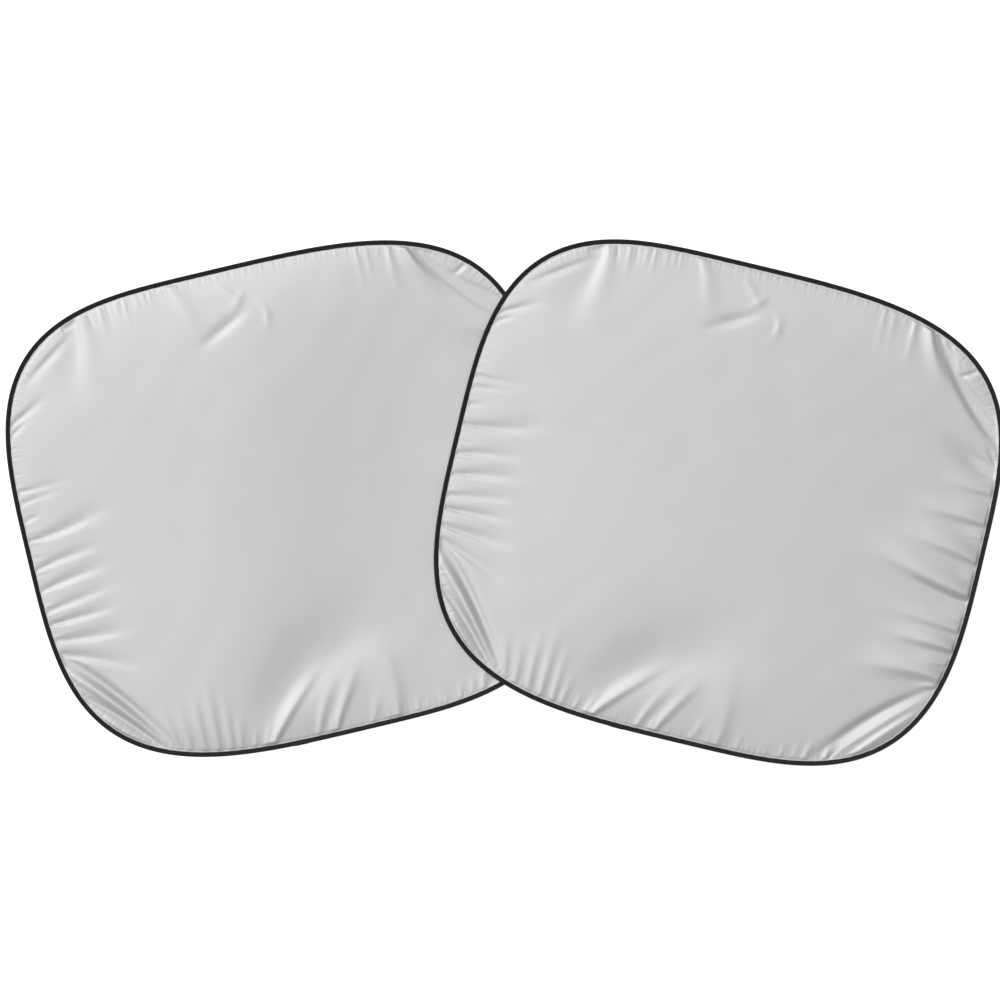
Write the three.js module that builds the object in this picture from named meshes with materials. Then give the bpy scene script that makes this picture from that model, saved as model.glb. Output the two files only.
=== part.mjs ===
// A two-panel windshield sunshade, lying open and flat, the right panel resting on the left one.
// Each panel is a silver cloth sewn into a black folded tape, and a spring wire hoop runs inside the tape.
// Millimetres, +Z up, the origin on the floor under the middle of the pair.
import * as THREE from "three";
import { mergeVertices } from "three/addons/utils/BufferGeometryUtils.js";

// Driving dimensions of one panel.
const panelWidth = 800;
const panelHeight = 712;
const bindingWidth = 7;
const tapeThickness = 0.45;
const wireDiameter = 1.8;
const ferruleLength = 24;
const ferruleWall = 0.25;
const ferruleFit = 0.1;
const casingFit = 0.15;
const clothThickness = 0.3;
const clothFit = 0.1;
const clothGrip = 2.4;
const clothFlatBeyondLips = 0.9;
const threadThickness = 0.3;
const threadInset = 1.2;
const threadFit = 0.15;
const tapeEndGap = 0.3;
const wireEndGap = 0.4;

// Where each side bulges furthest, and how square each corner is.
const topCrownX = -62;
const bottomCrownX = 47;
const leftCrownY = 16;
const rightCrownY = 7.5;
const topRightPower = 3.67;
const topLeftPower = 3.36;
const bottomLeftPower = 3.59;
const bottomRightPower = 3.23;
const tapeJointX = -76;

// How finely the cloth is faceted between its folds.
const clothGridPitch = 46;

// How the cloth stands up from the plane of the wire.
const domeRise = 8;
const domeShoulder = 4;
const edgePuffRise = 2.6;
const edgePuffReach = 36;
const edgeEase = 8;
const lowestValley = 1;
const highestCrest = 22;
const pressedCrest = 1.2;
const pressReach = 70;
const pressMargin = clothGridPitch;

// How the two panels lie.
const panelTurn = THREE.MathUtils.degToRad(13.37);
const centreOffsetX = 313.2;
const centreOffsetY = 3.7;
const restGap = 0.3;

// How finely the round forms are faceted.
const rimStations = 56;
const clothEdgeStations = 112;
const wireSides = 8;
const ferruleSides = 12;

const wireRadius = wireDiameter / 2;
const ferruleBore = wireRadius + ferruleFit;
const ferruleRadius = ferruleBore + ferruleWall;
const casingRadius = ferruleRadius + casingFit;
const beadRadius = casingRadius + tapeThickness;
const lipEnd = bindingWidth - beadRadius;
const slotHalf = clothThickness / 2 + clothFit;
const lipHalf = slotHalf + tapeThickness;
const bandHalfWidth = (panelWidth - bindingWidth) / 2;
const bandHalfHeight = (panelHeight - bindingWidth) / 2;
const bandToWire = beadRadius - bindingWidth / 2;

// The middle of the black band, as four superellipse quarters that join where the sides bulge furthest.
const quarters = [
  { across: 1, up: 1, centreX: topCrownX, centreY: rightCrownY, power: topRightPower },
  { across: -1, up: 1, centreX: topCrownX, centreY: leftCrownY, power: topLeftPower },
  { across: -1, up: -1, centreX: bottomCrownX, centreY: leftCrownY, power: bottomLeftPower },
  { across: 1, up: -1, centreX: bottomCrownX, centreY: rightCrownY, power: bottomRightPower },
].map((q) => ({
  ...q,
  reachX: bandHalfWidth - q.across * q.centreX,
  reachY: bandHalfHeight - q.up * q.centreY,
}));

function bandPoint(q, angle) {
  const c = Math.cos(angle) / q.reachX;
  const s = Math.sin(angle) / q.reachY;
  const radius = (c ** q.power + s ** q.power) ** (-1 / q.power);
  return new THREE.Vector2(
    q.centreX + q.across * radius * Math.cos(angle),
    q.centreY + q.up * radius * Math.sin(angle),
  );
}

// How far a place is across its quarter and up it: 0 at the quarter's centre and 1 at its reach.
function shareAcross(q, x) {
  return Math.max(0, (q.across * (x - q.centreX)) / q.reachX);
}

function shareUp(q, y) {
  return Math.max(0, (q.up * (y - q.centreY)) / q.reachY);
}

// 0 in the middle of the panel and 1 on the band.
function bandShare(x, y) {
  const share = (q) => (shareAcross(q, x) ** q.power + shareUp(q, y) ** q.power) ** (1 / q.power);
  return Math.max(...quarters.map(share));
}

// The band as a fine closed line, counterclockwise from the tape's joint at the bottom.
function traceBand() {
  const finePerQuarter = 180;
  const points = [];
  quarters.forEach((q, k) => {
    for (let i = 0; i < finePerQuarter; i++) {
      const share = k % 2 === 0 ? i / finePerQuarter : 1 - i / finePerQuarter;
      points.push(bandPoint(q, (share * Math.PI) / 2));
    }
  });
  const nearJoint = (p) => (p.y < 0 ? Math.abs(p.x - tapeJointX) : Infinity);
  const first = points.reduce((best, p, i) => (nearJoint(p) < nearJoint(points[best]) ? i : best), 0);
  return [...points.slice(first), ...points.slice(0, first)];
}

const band = traceBand();

function wrap(i) {
  return (i + band.length) % band.length;
}

function inwardNormal(i) {
  const along = band[wrap(i + 1)].clone().sub(band[wrap(i - 1)]).normalize();
  return new THREE.Vector2(-along.y, along.x);
}

// Picks stations along the band, closer together where it turns.
function stationsAlongBand(count, longestChord, sharpestTurn) {
  const cost = [0];
  for (let i = 1; i <= band.length; i++) {
    const step = band[wrap(i)].distanceTo(band[wrap(i - 1)]);
    const turn = Math.acos(Math.min(1, inwardNormal(wrap(i)).dot(inwardNormal(i - 1))));
    cost.push(cost[i - 1] + step / longestChord + turn / sharpestTurn);
  }
  const stations = [];
  for (let k = 0, i = 0; k < count; k++) {
    const target = ((k + 0.5) / count) * cost[band.length];
    while (cost[i + 1] < target) i++;
    const share = (target - cost[i]) / (cost[i + 1] - cost[i]);
    const point = band[wrap(i)].clone().lerp(band[wrap(i + 1)], share);
    const inward = inwardNormal(i).lerp(inwardNormal(wrap(i + 1)), share).normalize();
    stations.push({ point, inward });
  }
  return stations;
}

const longestRimChord = 60;
const sharpestRimTurn = THREE.MathUtils.degToRad(9);
const rim = stationsAlongBand(rimStations, longestRimChord, sharpestRimTurn);

// The polygon of the rim's stations, moved inward from the wire's own line.
function rimLine(inward) {
  return rim.map((s) => s.point.clone().addScaledVector(s.inward, bandToWire + inward));
}

// A path that passes straight from station to station, for sweeping a section round the rim.
class StationPath extends THREE.Curve {
  constructor(points) {
    super();
    this.points = points;
  }

  getPointAt(share) {
    return this.points[Math.round(share * (this.points.length - 1))].clone();
  }

  getTangentAt(share) {
    const i = Math.round(share * (this.points.length - 1));
    const before = this.points[Math.max(0, i - 1)];
    const after = this.points[Math.min(this.points.length - 1, i + 1)];
    const here = this.points[i];
    const arriving = here.clone().sub(before).normalize();
    const leaving = after.clone().sub(here).normalize();
    return arriving.add(leaving).normalize();
  }
}

// Sweeps a section round the rim from one side of the joint to the other. A section point is [inward, up].
function sweepRound(section, endGap) {
  const line = rimLine(0).map((p) => new THREE.Vector3(p.x, p.y, 0));
  const last = line[line.length - 1];
  const joint = line[0].clone().add(last).multiplyScalar(0.5);
  const halfGap = line[0].clone().sub(last).setLength(endGap / 2);
  const path = new StationPath([joint.clone().add(halfGap), ...line, joint.clone().sub(halfGap)]);
  const shape = new THREE.Shape(section.map(([inward, up]) => new THREE.Vector2(-up, inward)));
  return new THREE.ExtrudeGeometry(shape, {
    steps: path.points.length - 1,
    extrudePath: path,
    bevelEnabled: false,
  });
}

// The tape folded over the wire: an eight-sided casing that runs into two lips, open between them.
function bindingGeometry() {
  const beadSide = beadRadius * Math.tan(Math.PI / 8);
  const casingSide = casingRadius * Math.tan(Math.PI / 8);
  const halfLoop = (radius, side) => [
    [radius, side],
    [side, radius],
    [-side, radius],
    [-radius, side],
  ];
  const mirrored = (points) => points.map(([inward, up]) => [inward, -up]).reverse();
  const outside = [[lipEnd, lipHalf], ...halfLoop(beadRadius, beadSide)];
  const inside = [[lipEnd, slotHalf], ...halfLoop(casingRadius, casingSide)];
  const section = [...outside, ...mirrored(outside), ...inside.map(([i, u]) => [i, -u])];
  return sweepRound([...section, ...mirrored(inside.map(([i, u]) => [i, -u]))], tapeEndGap);
}

function wireGeometry() {
  const section = [];
  for (let k = 0; k < wireSides; k++) {
    const angle = ((k + 0.5) / wireSides) * 2 * Math.PI;
    section.push([wireRadius * Math.cos(angle), wireRadius * Math.sin(angle)]);
  }
  return sweepRound(section, wireEndGap);
}

// The run of stitches that closes the tape, on one face of the lips.
function threadGeometry(side) {
  const near = lipEnd - threadInset - threadThickness / 2;
  const far = near + threadThickness;
  const low = Math.max(lipHalf, beadRadius * Math.tan(Math.PI / 8)) + threadFit;
  const high = low + threadThickness;
  const section = [
    [near, side * low],
    [far, side * low],
    [far, side * high],
    [near, side * high],
  ];
  return sweepRound(section, tapeEndGap);
}

// The crimped sleeve in which the wire's two ends meet.
function ferruleMesh(material) {
  const bore = ferruleBore / Math.cos(Math.PI / ferruleSides);
  const half = ferruleLength / 2;
  const profile = [
    new THREE.Vector2(bore, -half),
    new THREE.Vector2(ferruleRadius, -half),
    new THREE.Vector2(ferruleRadius, half),
    new THREE.Vector2(bore, half),
    new THREE.Vector2(bore, -half),
  ];
  const mesh = new THREE.Mesh(new THREE.LatheGeometry(profile, ferruleSides), material);
  const line = rimLine(0);
  const first = line[0];
  const last = line[line.length - 1];
  mesh.position.set((first.x + last.x) / 2, (first.y + last.y) / 2, 0);
  mesh.rotation.z = Math.atan2(first.y - last.y, first.x - last.x) - Math.PI / 2;
  return mesh;
}

// The folds were laid out on a band of this half width and half height, and stretch with the panel.
const laidOutHalfWidth = 396.5;
const laidOutHalfHeight = 352.5;

// Folds that start at the rim and die out inward. A row is the start, a point halfway and the end, the half
// width at the start and at the end, the lean, and the steepness in percent, negative in a valley. A fold
// that leans by 1 has its whole width on its left side, seen from its start, and by -1 on its right side.
const rimFolds = [
  // Left side, from the top down.
  [-391, 101, -355, 101, -305, 104, 3, 6, 0.45, -24],
  [-390, 83, -355, 88, -312, 92, 3, 6, 0.45, -18],
  [-391, 57, -380, 59, -362, 62, 3, 5, 0.45, -29],
  [-392, 28, -330, 34, -250, 57, 3, 13, 0.45, -32],
  [-391, -17, -345, -8, -272, 0, 3, 9, 0.45, -35],
  [-391, -48, -345, -40, -268, -28, 3, 10, 0.45, -40],
  [-390, -80, -345, -73, -262, -60, 3, 9, 0.45, -32],
  [-390, -99, -345, -98.5, -275, -94, 3, 8, 0.45, -48],
  [-388, -123, -335, -130, -262, -131, 3, 12, 0.45, -35],
  [-385, -145, -334, -164, -262, -196, 4, 11, 0.45, -35],
  // Top left corner and the gathers beside it.
  [-380, 199, -352, 213, -308, 236, 3, 7, 0, -38],
  [-382, 184, -366, 194, -345, 207, 3, 5, 0, -29],
  [-256, 330, -262, 276, -296, 196, 10, 34, -0.2, -12],
  [-242, 332, -246, 280, -258, 206, 6, 20, 0.3, 12],
  [-230, 335, -228, 322, -227, 300, 2.5, 4, 0, -22],
  [-211, 339, -211, 316, -209, 284, 3, 5, 0, 14],
  [-200, 340, -200, 325, -199, 300, 2.5, 4, 0, -13],
  [-186, 341, -186, 325, -185, 302, 3, 4, 0, 13],
  [-174, 342, -174, 320, -173, 294, 3, 4, 0, 14],
  [-155, 344, -155, 330, -154, 314, 2.5, 4, 0, 11],
  [-146, 344, -145, 332, -144, 316, 2.5, 4, 0, 10],
  [-136, 345, -135, 330, -133, 312, 2.5, 4, 0, 10],
  // Top middle, down to the soft dent.
  [-112, 347, -92, 318, -76, 246, 5, 14, 0.3, 14],
  // Gathers and the broad band at the top right.
  [175, 341, 175, 305, 176, 262, 3, 6, 0, 13],
  [190, 340, 190, 310, 190, 268, 3.5, 6, 0, 13],
  [204, 338, 205, 328, 205, 314, 2.5, 3.5, 0, 11],
  [221, 335, 222, 300, 222, 258, 4, 7, 0.2, 22],
  [245, 329, 262, 286, 296, 236, 6, 10, -0.45, 43],
  [257, 324, 266, 309, 277, 293, 2, 2.5, 0, -54],
  [272, 317, 282, 304, 293, 290, 2.5, 3, 0, -45],
  [385, 150, 376, 161, 366, 179, 3, 4, 0, -38],
  [390, 136, 356, 149, 284, 184, 5, 20, 0.2, -44],
  // Right side, from the top down.
  [388, 107, 350, 110, 300, 112, 7, 12, -0.4, 20],
  [390, 78, 368, 79, 334, 80, 6, 9, -0.4, 14],
  [391, 62, 346, 66, 262, 69, 7, 16, -0.4, 36],
  [393, 37, 382, 41, 358, 44, 5, 8, -0.4, 26],
  [393, 3, 346, 16, 250, 31, 7, 22, -0.4, 40],
  [393, -21, 384, -20, 362, -16, 5, 8, -0.4, 26],
  [392, -57, 330, -47, 228, -19, 4, 8, -0.4, -32],
  [392, -45, 326, -32, 196, 4, 11, 26, -0.4, 46],
  [390, -85, 376, -83, 345, -80, 5, 8, -0.4, 28],
  [391, -101, 345, -95, 240, -86, 7, 16, -0.4, 36],
  [387, -130, 346, -126, 265, -124, 7, 17, -0.4, 50],
  [382, -153, 362, -153, 325, -152, 5, 9, -0.4, 34],
  [379, -180, 336, -172, 226, -178, 7, 24, -0.4, 44],
  [374, -187, 362, -190, 340, -195, 4, 7, -0.4, 40],
  // Bottom right gathers.
  [243, -333, 250, -320, 262, -300, 2.5, 4, 0, -42],
  [240, -335, 242, -318, 250, -296, 3, 5, 0.2, 35],
  [209, -342, 212, -326, 222, -296, 3, 6, 0, 26],
  [193, -344, 195, -330, 199, -308, 3, 5, 0, 16],
  [174, -346, 176, -332, 179, -310, 3, 5, 0, 19],
  [152, -348, 153, -338, 156, -322, 2.5, 4, 0, 11],
  [143, -349, 145, -337, 149, -320, 2.5, 4, 0, 13],
  [124, -350, 125, -340, 127, -330, 2.5, 4, 0, 11],
  [109, -350, 111, -336, 114, -314, 3, 5, 0, 18],
  [79, -351, 81, -334, 85, -306, 3, 6, 0, 13],
  [78, -350, 82, -290, 70, -212, 14, 26, 0.4, 9],
  [40, -351, 50, -325, 63, -296, 4, 8, 0, 14],
  // The fan at the bottom, left of the middle.
  [-17, -351, 8, -306, 46, -248, 5, 9, 0.25, 36],
  [-24, -350, -19, -335, -10, -316, 2.5, 4, 0, 22],
  [-42, -350, -26, -311, 4, -264, 4, 9, 0, 26],
  [-112, -348, -68, -298, 10, -222, 6, 11, 0.35, 38],
  [-110, -348, -104, -337, -96, -322, 2.5, 3.5, 0, 21],
  [-121, -347, -113, -326, -99, -296, 3, 6, 0, 22],
  [-137, -346, -133, -330, -127, -310, 3, 4, 0, 19],
  // Ribs at the bottom left.
  [-157, -344, -154, -320, -146, -282, 3, 7, 0, 22],
  [-171, -342, -169, -300, -166, -240, 3.5, 8, 0, 24],
  [-190, -340, -189, -290, -187, -212, 4, 10, 0, 27],
  [-209, -337, -210, -290, -208, -222, 4, 9, 0, 24],
  [-231, -331, -232, -295, -240, -245, 4, 9, 0, 19],
  [-246, -326, -252, -290, -262, -240, 4, 10, 0.3, 19],
];

// Folds that cut across a corner or lie free in the cloth, and die out at both ends.
const crossFolds = [
  // Top left corner, from the rim inward.
  [-290, 320, -325, 293, -352, 264, 3, 3, 0, -42],
  [-275, 319, -262, 322, -247, 328, 2.5, 2.5, 0, -26],
  [-258, 312, -304, 282, -350, 248, 5, 6, 0.2, -24],
  // The soft dent under the top edge.
  [-84, 243, -44, 264, 4, 288, 6, 9, 0.3, -29],
  [-38, 334, -20, 314, -2, 296, 5, 5, 0, 14],
  [2, 318, -8, 304, -28, 282, 5, 6, 0, 13],
  [8, 296, 26, 276, 14, 246, 4, 6, 0.4, 19],
  // The broad hollow above the fan.
  [-124, -338, -46, -254, 120, -190, 26, 60, 0.3, -11],
  // Top right corner, from the cloth out to the rim.
  [256, 322, 318, 238, 392, 172, 8, 9, 0.35, -52],
  [296, 268, 336, 236, 384, 202, 4, 5, 0.3, -46],
  [292, 292, 300, 274, 308, 256, 3, 3, 0, 26],
  [303, 265, 316, 271, 331, 280, 3, 4, 0, -42],
  // Bottom right corner, from the cloth out to the rim.
  [374, -190, 296, -250, 216, -340, 6, 9, 0.2, -54],
  [362, -210, 306, -263, 234, -340, 2.5, 2.5, 0, 38],
  [358, -230, 314, -274, 256, -338, 5, 6, 0.45, 46],
  // Bottom left corner, from the cloth out to the rim.
  [-402, -138, -328, -208, -236, -340, 7, 7, 0, -54],
  [-400, -160, -327, -230, -244, -342, 6, 7, 0.2, 42],
  [-384, -200, -316, -260, -244, -342, 5, 5, 0.2, -60],
  [-374, -226, -316, -284, -262, -340, 6, 6, -0.3, 38],
  [-347, -244, -326, -266, -300, -290, 3, 3, 0, 34],
  [-318, -276, -300, -292, -280, -306, 3, 3, 0, 30],
];

const foldSteps = 8;

// A fold as a line of points with its half width and height at each.
function layFold(row, diesAtStart) {
  const [x0, y0, x1, y1, x2, y2, startHalfWidth, endHalfWidth, lean, percent] = row;
  const steepness = percent / 100;
  const place = (x, y) =>
    new THREE.Vector2((x * bandHalfWidth) / laidOutHalfWidth, (y * bandHalfHeight) / laidOutHalfHeight);
  const start = place(x0, y0);
  const end = place(x2, y2);
  const bend = place(x1, y1).multiplyScalar(2).sub(start.clone().add(end).multiplyScalar(0.5));
  const curve = new THREE.QuadraticBezierCurve(start, bend, end);
  const spine = curve.getPoints(foldSteps).map((point, i) => {
    const share = i / foldSteps;
    const taper = diesAtStart ? Math.sin(Math.PI * share) ** 1.2 : (1 - share ** 2.5) ** 2;
    const halfWidth = startHalfWidth + (endHalfWidth - startHalfWidth) * share;
    return { point, halfWidth, height: steepness * halfWidth * taper };
  });
  const mainHeight = Math.max(...spine.map((s) => Math.abs(s.height)));
  return { spine, lean, length: curve.getLength(), mainHeight };
}

const folds = [
  ...rimFolds.map((row) => layFold(row, false)),
  ...crossFolds.map((row) => layFold(row, true)),
];

// Nearest place on a line of points: the distance to it, the leg and the share along that leg.
function nearestOnLine(points, x, y, closed) {
  let best = { distance: Infinity, leg: 0, share: 0 };
  const legs = closed ? points.length : points.length - 1;
  for (let i = 0; i < legs; i++) {
    const a = points[i];
    const b = points[(i + 1) % points.length];
    const lx = b.x - a.x;
    const ly = b.y - a.y;
    const along = ((x - a.x) * lx + (y - a.y) * ly) / (lx * lx + ly * ly);
    const share = Math.min(1, Math.max(0, along));
    const distance = Math.hypot(a.x + share * lx - x, a.y + share * ly - y);
    if (distance < best.distance) best = { distance, leg: i, share };
  }
  return best;
}

function foldRise(fold, x, y) {
  const points = fold.spine.map((s) => s.point);
  const { distance, leg, share } = nearestOnLine(points, x, y, false);
  const a = fold.spine[leg];
  const b = fold.spine[leg + 1];
  const turn = (b.point.x - a.point.x) * (y - a.point.y) - (b.point.y - a.point.y) * (x - a.point.x);
  const halfWidth = (a.halfWidth + (b.halfWidth - a.halfWidth) * share) * (1 + fold.lean * Math.sign(turn));
  const height = a.height + (b.height - a.height) * share;
  return height * Math.exp(-((distance / halfWidth) ** 2));
}

function smooth(share) {
  const s = Math.min(1, Math.max(0, share));
  return s * s * (3 - 2 * s);
}

const clothEdge = stationsAlongBand(clothEdgeStations, longestRimChord, sharpestRimTurn * 2);
const clothEdgeInset = lipEnd - clothGrip;
const clothFreeInset = lipEnd + clothFlatBeyondLips;

function clothLine(inward) {
  return clothEdge.map((s) => s.point.clone().addScaledVector(s.inward, bandToWire + inward));
}

const freeLine = clothLine(clothFreeInset);

// Height of the cloth over the plane of the wire. The limit on a crest at that place comes from outside.
function clothRise(x, y, crestLimit) {
  const inFrom = nearestOnLine(freeLine, x, y, true).distance;
  const across = Math.max(...quarters.map((q) => shareAcross(q, x)));
  const dome = domeRise * (1 - across ** 2) * (1 - Math.min(1, bandShare(x, y)) ** domeShoulder);
  const puff = edgePuffRise * (1 - Math.exp(-inFrom / edgePuffReach));
  const folded = folds.reduce((sum, fold) => sum + foldRise(fold, x, y), 0);
  const rise = smooth(inFrom / edgeEase) * (dome + puff + folded);
  const limit = rise > 0 ? crestLimit : lowestValley;
  return limit * Math.tanh(rise / limit);
}

// Joins points in the plane into triangles with no point inside another triangle's circle.
function triangulate(points) {
  const far = 200 * (panelWidth + panelHeight);
  const all = [...points, { x: -far, y: -far }, { x: far, y: -far }, { x: 0, y: far }];
  const circled = (a, b, c) => {
    const [p, q, r] = [all[a], all[b], all[c]];
    const d = 2 * ((q.x - p.x) * (r.y - p.y) - (q.y - p.y) * (r.x - p.x));
    const qq = (q.x - p.x) ** 2 + (q.y - p.y) ** 2;
    const rr = (r.x - p.x) ** 2 + (r.y - p.y) ** 2;
    const ux = ((r.y - p.y) * qq - (q.y - p.y) * rr) / d;
    const uy = ((q.x - p.x) * rr - (r.x - p.x) * qq) / d;
    return { corners: [a, b, c], x: p.x + ux, y: p.y + uy, reach: ux * ux + uy * uy };
  };
  const n = points.length;
  let triangles = [circled(n, n + 1, n + 2)];
  points.forEach((point, k) => {
    const edges = new Map();
    triangles = triangles.filter((t) => {
      if ((point.x - t.x) ** 2 + (point.y - t.y) ** 2 >= t.reach) return true;
      t.corners.forEach((a, i) => {
        const b = t.corners[(i + 1) % 3];
        if (edges.has(b + "_" + a)) edges.delete(b + "_" + a);
        else edges.set(a + "_" + b, [a, b]);
      });
      return false;
    });
    for (const [a, b] of edges.values()) triangles.push(circled(a, b, k));
  });
  return triangles.map((t) => t.corners).filter((corners) => corners.every((i) => i < n));
}

// Points for the cloth: its free edge, each fold's spine, the feet beside it, and a sparse grid between.
function clothPoints() {
  const points = [...freeLine];
  const clearOf = (p, reach) => points.every((o) => Math.hypot(o.x - p.x, o.y - p.y) >= reach);
  const free = (p) => bandShare(p.x, p.y) < 1 && nearestOnLine(freeLine, p.x, p.y, true).distance;
  const offer = (x, y, reach, edgeReach) => {
    const p = new THREE.Vector2(x, y);
    if (free(p) >= edgeReach && clearOf(p, reach)) points.push(p);
  };
  const spinePitch = 22;
  const nearestSpine = 6.5;
  const nearestEdge = 5;
  const tallFold = 2;
  const feetAt = 1.35;
  const walk = (fold, visit) => {
    const visits = Math.max(2, Math.round(fold.length / spinePitch));
    for (let k = 0; k <= visits; k++) {
      const along = (k / visits) * foldSteps;
      const leg = Math.min(foldSteps - 1, Math.floor(along));
      const a = fold.spine[leg];
      const b = fold.spine[leg + 1];
      const direction = b.point.clone().sub(a.point).normalize();
      const halfWidth = a.halfWidth + (b.halfWidth - a.halfWidth) * (along - leg);
      visit(a.point.clone().lerp(b.point, along - leg), direction, halfWidth);
    }
  };
  const byHeight = [...folds].sort((a, b) => b.mainHeight - a.mainHeight);
  const clearEdge = nearestEdge + clothFreeInset;
  for (const fold of byHeight) {
    const first = fold.spine[0].point.clone();
    const towards = fold.spine[1].point.clone().sub(first).normalize();
    const step = first.addScaledVector(towards, clearEdge);
    offer(step.x, step.y, nearestSpine, nearestEdge);
    walk(fold, (p) => offer(p.x, p.y, nearestSpine, nearestEdge));
  }
  for (const fold of byHeight.filter((f) => f.mainHeight >= tallFold)) {
    walk(fold, (p, direction, halfWidth) => {
      const reach = Math.max(halfWidth * feetAt, nearestSpine);
      for (const side of [-1, 1]) {
        offer(p.x - side * reach * direction.y, p.y + side * reach * direction.x, nearestSpine, nearestEdge);
      }
    });
  }
  const rowPitch = clothGridPitch * 0.87;
  const columns = Math.ceil(panelWidth / 2 / clothGridPitch) + 1;
  const rows = Math.ceil(panelHeight / 2 / rowPitch);
  const wobble = 3;
  for (let j = -rows; j <= rows; j++) {
    for (let i = -columns; i <= columns; i++) {
      const x = (i + (j % 2) / 2) * clothGridPitch + wobble * Math.sin(7 * i + 3 * j);
      const y = j * rowPitch + wobble * Math.cos(5 * i - 2 * j);
      offer(x, y, clothGridPitch / 2, clothGridPitch / 4);
    }
  }
  return points;
}

const clothPlan = clothPoints();
const clothTriangles = triangulate(clothPlan);

// The cloth as one closed sheet: an upper and a lower face and the edge that is sewn into the tape.
function clothGeometry(crestLimitAt) {
  const edge = clothLine(clothEdgeInset);
  const inEdge = edge.length;
  const plan = [...edge, ...clothPlan];
  const rises = [
    ...edge.map(() => 0),
    ...clothPlan.map((p, i) => (i < inEdge ? 0 : clothRise(p.x, p.y, crestLimitAt(p.x, p.y)))),
  ];
  const positions = [];
  for (const face of [0.5, -0.5]) {
    plan.forEach((p, i) => positions.push(p.x, p.y, rises[i] + face * clothThickness));
  }
  const below = plan.length;
  const index = [];
  const bothFaces = (a, b, c) => {
    index.push(a, b, c, below + a, below + c, below + b);
  };
  for (const [a, b, c] of clothTriangles) bothFaces(inEdge + a, inEdge + b, inEdge + c);
  for (let i = 0; i < inEdge; i++) {
    const j = (i + 1) % inEdge;
    bothFaces(i, j, inEdge + j);
    bothFaces(i, inEdge + j, inEdge + i);
    index.push(i, below + i, below + j, i, below + j, j);
  }
  const geometry = new THREE.BufferGeometry();
  geometry.setAttribute("position", new THREE.Float32BufferAttribute(positions, 3));
  geometry.setIndex(index);
  geometry.computeVertexNormals();
  return geometry;
}

const finishes = {
  cloth: { color: 0xcbc9cc, roughness: 0.42, metalness: 0.3 },
  tape: { color: 0x262627, roughness: 0.85, metalness: 0 },
  wire: { color: 0x8a8d90, roughness: 0.35, metalness: 1 },
  ferrule: { color: 0xb59a5b, roughness: 0.4, metalness: 1 },
  thread: { color: 0x1b1b1c, roughness: 0.7, metalness: 0 },
};

function finish(name) {
  return new THREE.MeshStandardMaterial(finishes[name]);
}

function tidy(geometry) {
  geometry.deleteAttribute("normal");
  geometry.deleteAttribute("uv");
  const merged = mergeVertices(geometry, 1e-4);
  merged.computeVertexNormals();
  return merged;
}

// One whole panel, flat in its own frame, with the plane of the wire at zero height.
function makePanel(side, crestLimitAt) {
  const panel = new THREE.Group();
  const add = (name, mesh) => {
    mesh.name = side + "_" + name;
    panel.add(mesh);
  };
  add("fabric", new THREE.Mesh(clothGeometry(crestLimitAt), finish("cloth")));
  add("edge_binding", new THREE.Mesh(tidy(bindingGeometry()), finish("tape")));
  add("hoop_wire", new THREE.Mesh(tidy(wireGeometry()), finish("wire")));
  add("hoop_ferrule", ferruleMesh(finish("ferrule")));
  add("seam_thread_top", new THREE.Mesh(tidy(threadGeometry(1)), finish("thread")));
  add("seam_thread_under", new THREE.Mesh(tidy(threadGeometry(-1)), finish("thread")));
  return panel;
}

// The rim's polygon where a panel lies, seen from above.
function placedRim(offsetX, offsetY, turn) {
  return rimLine(0).map((p) => p.rotateAround(new THREE.Vector2(), turn).add({ x: offsetX, y: offsetY }));
}

// The places where one closed polygon crosses another.
function crossings(one, other) {
  const found = [];
  one.forEach((a, i) => {
    const b = one[(i + 1) % one.length];
    other.forEach((c, j) => {
      const d = other[(j + 1) % other.length];
      const turn = (b.x - a.x) * (d.y - c.y) - (b.y - a.y) * (d.x - c.x);
      const s = ((c.x - a.x) * (d.y - c.y) - (c.y - a.y) * (d.x - c.x)) / turn;
      const t = ((c.x - a.x) * (b.y - a.y) - (c.y - a.y) * (b.x - a.x)) / turn;
      if (s >= 0 && s < 1 && t >= 0 && t < 1) found.push(a.clone().lerp(b, s));
    });
  });
  return found;
}

const leftRim = placedRim(-centreOffsetX, centreOffsetY, panelTurn);
const rightRim = placedRim(centreOffsetX, -centreOffsetY, -panelTurn);
const crossed = crossings(leftRim, rightRim).sort((a, b) => b.y - a.y);
const upperCrossing = crossed[0];
const lowerCrossing = crossed[crossed.length - 1];

// The left panel's cloth is pressed down where the right panel lies on it and just beyond its rim.
function leftCrestLimit(x, y) {
  const here = new THREE.Vector2(x, y).rotateAround(new THREE.Vector2(), panelTurn);
  here.add({ x: -centreOffsetX, y: centreOffsetY });
  const inRight = new THREE.Vector2(here.x - centreOffsetX, here.y + centreOffsetY);
  inRight.rotateAround(new THREE.Vector2(), panelTurn);
  const covered = bandShare(inRight.x, inRight.y) < 1;
  const beyond = covered ? 0 : nearestOnLine(rightRim, here.x, here.y, true).distance;
  return pressedCrest + (highestCrest - pressedCrest) * smooth((beyond - pressMargin) / pressReach);
}

const leftPanel = makePanel("left", leftCrestLimit);
leftPanel.position.set(-centreOffsetX, centreOffsetY, beadRadius);
leftPanel.rotation.z = panelTurn;

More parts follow.
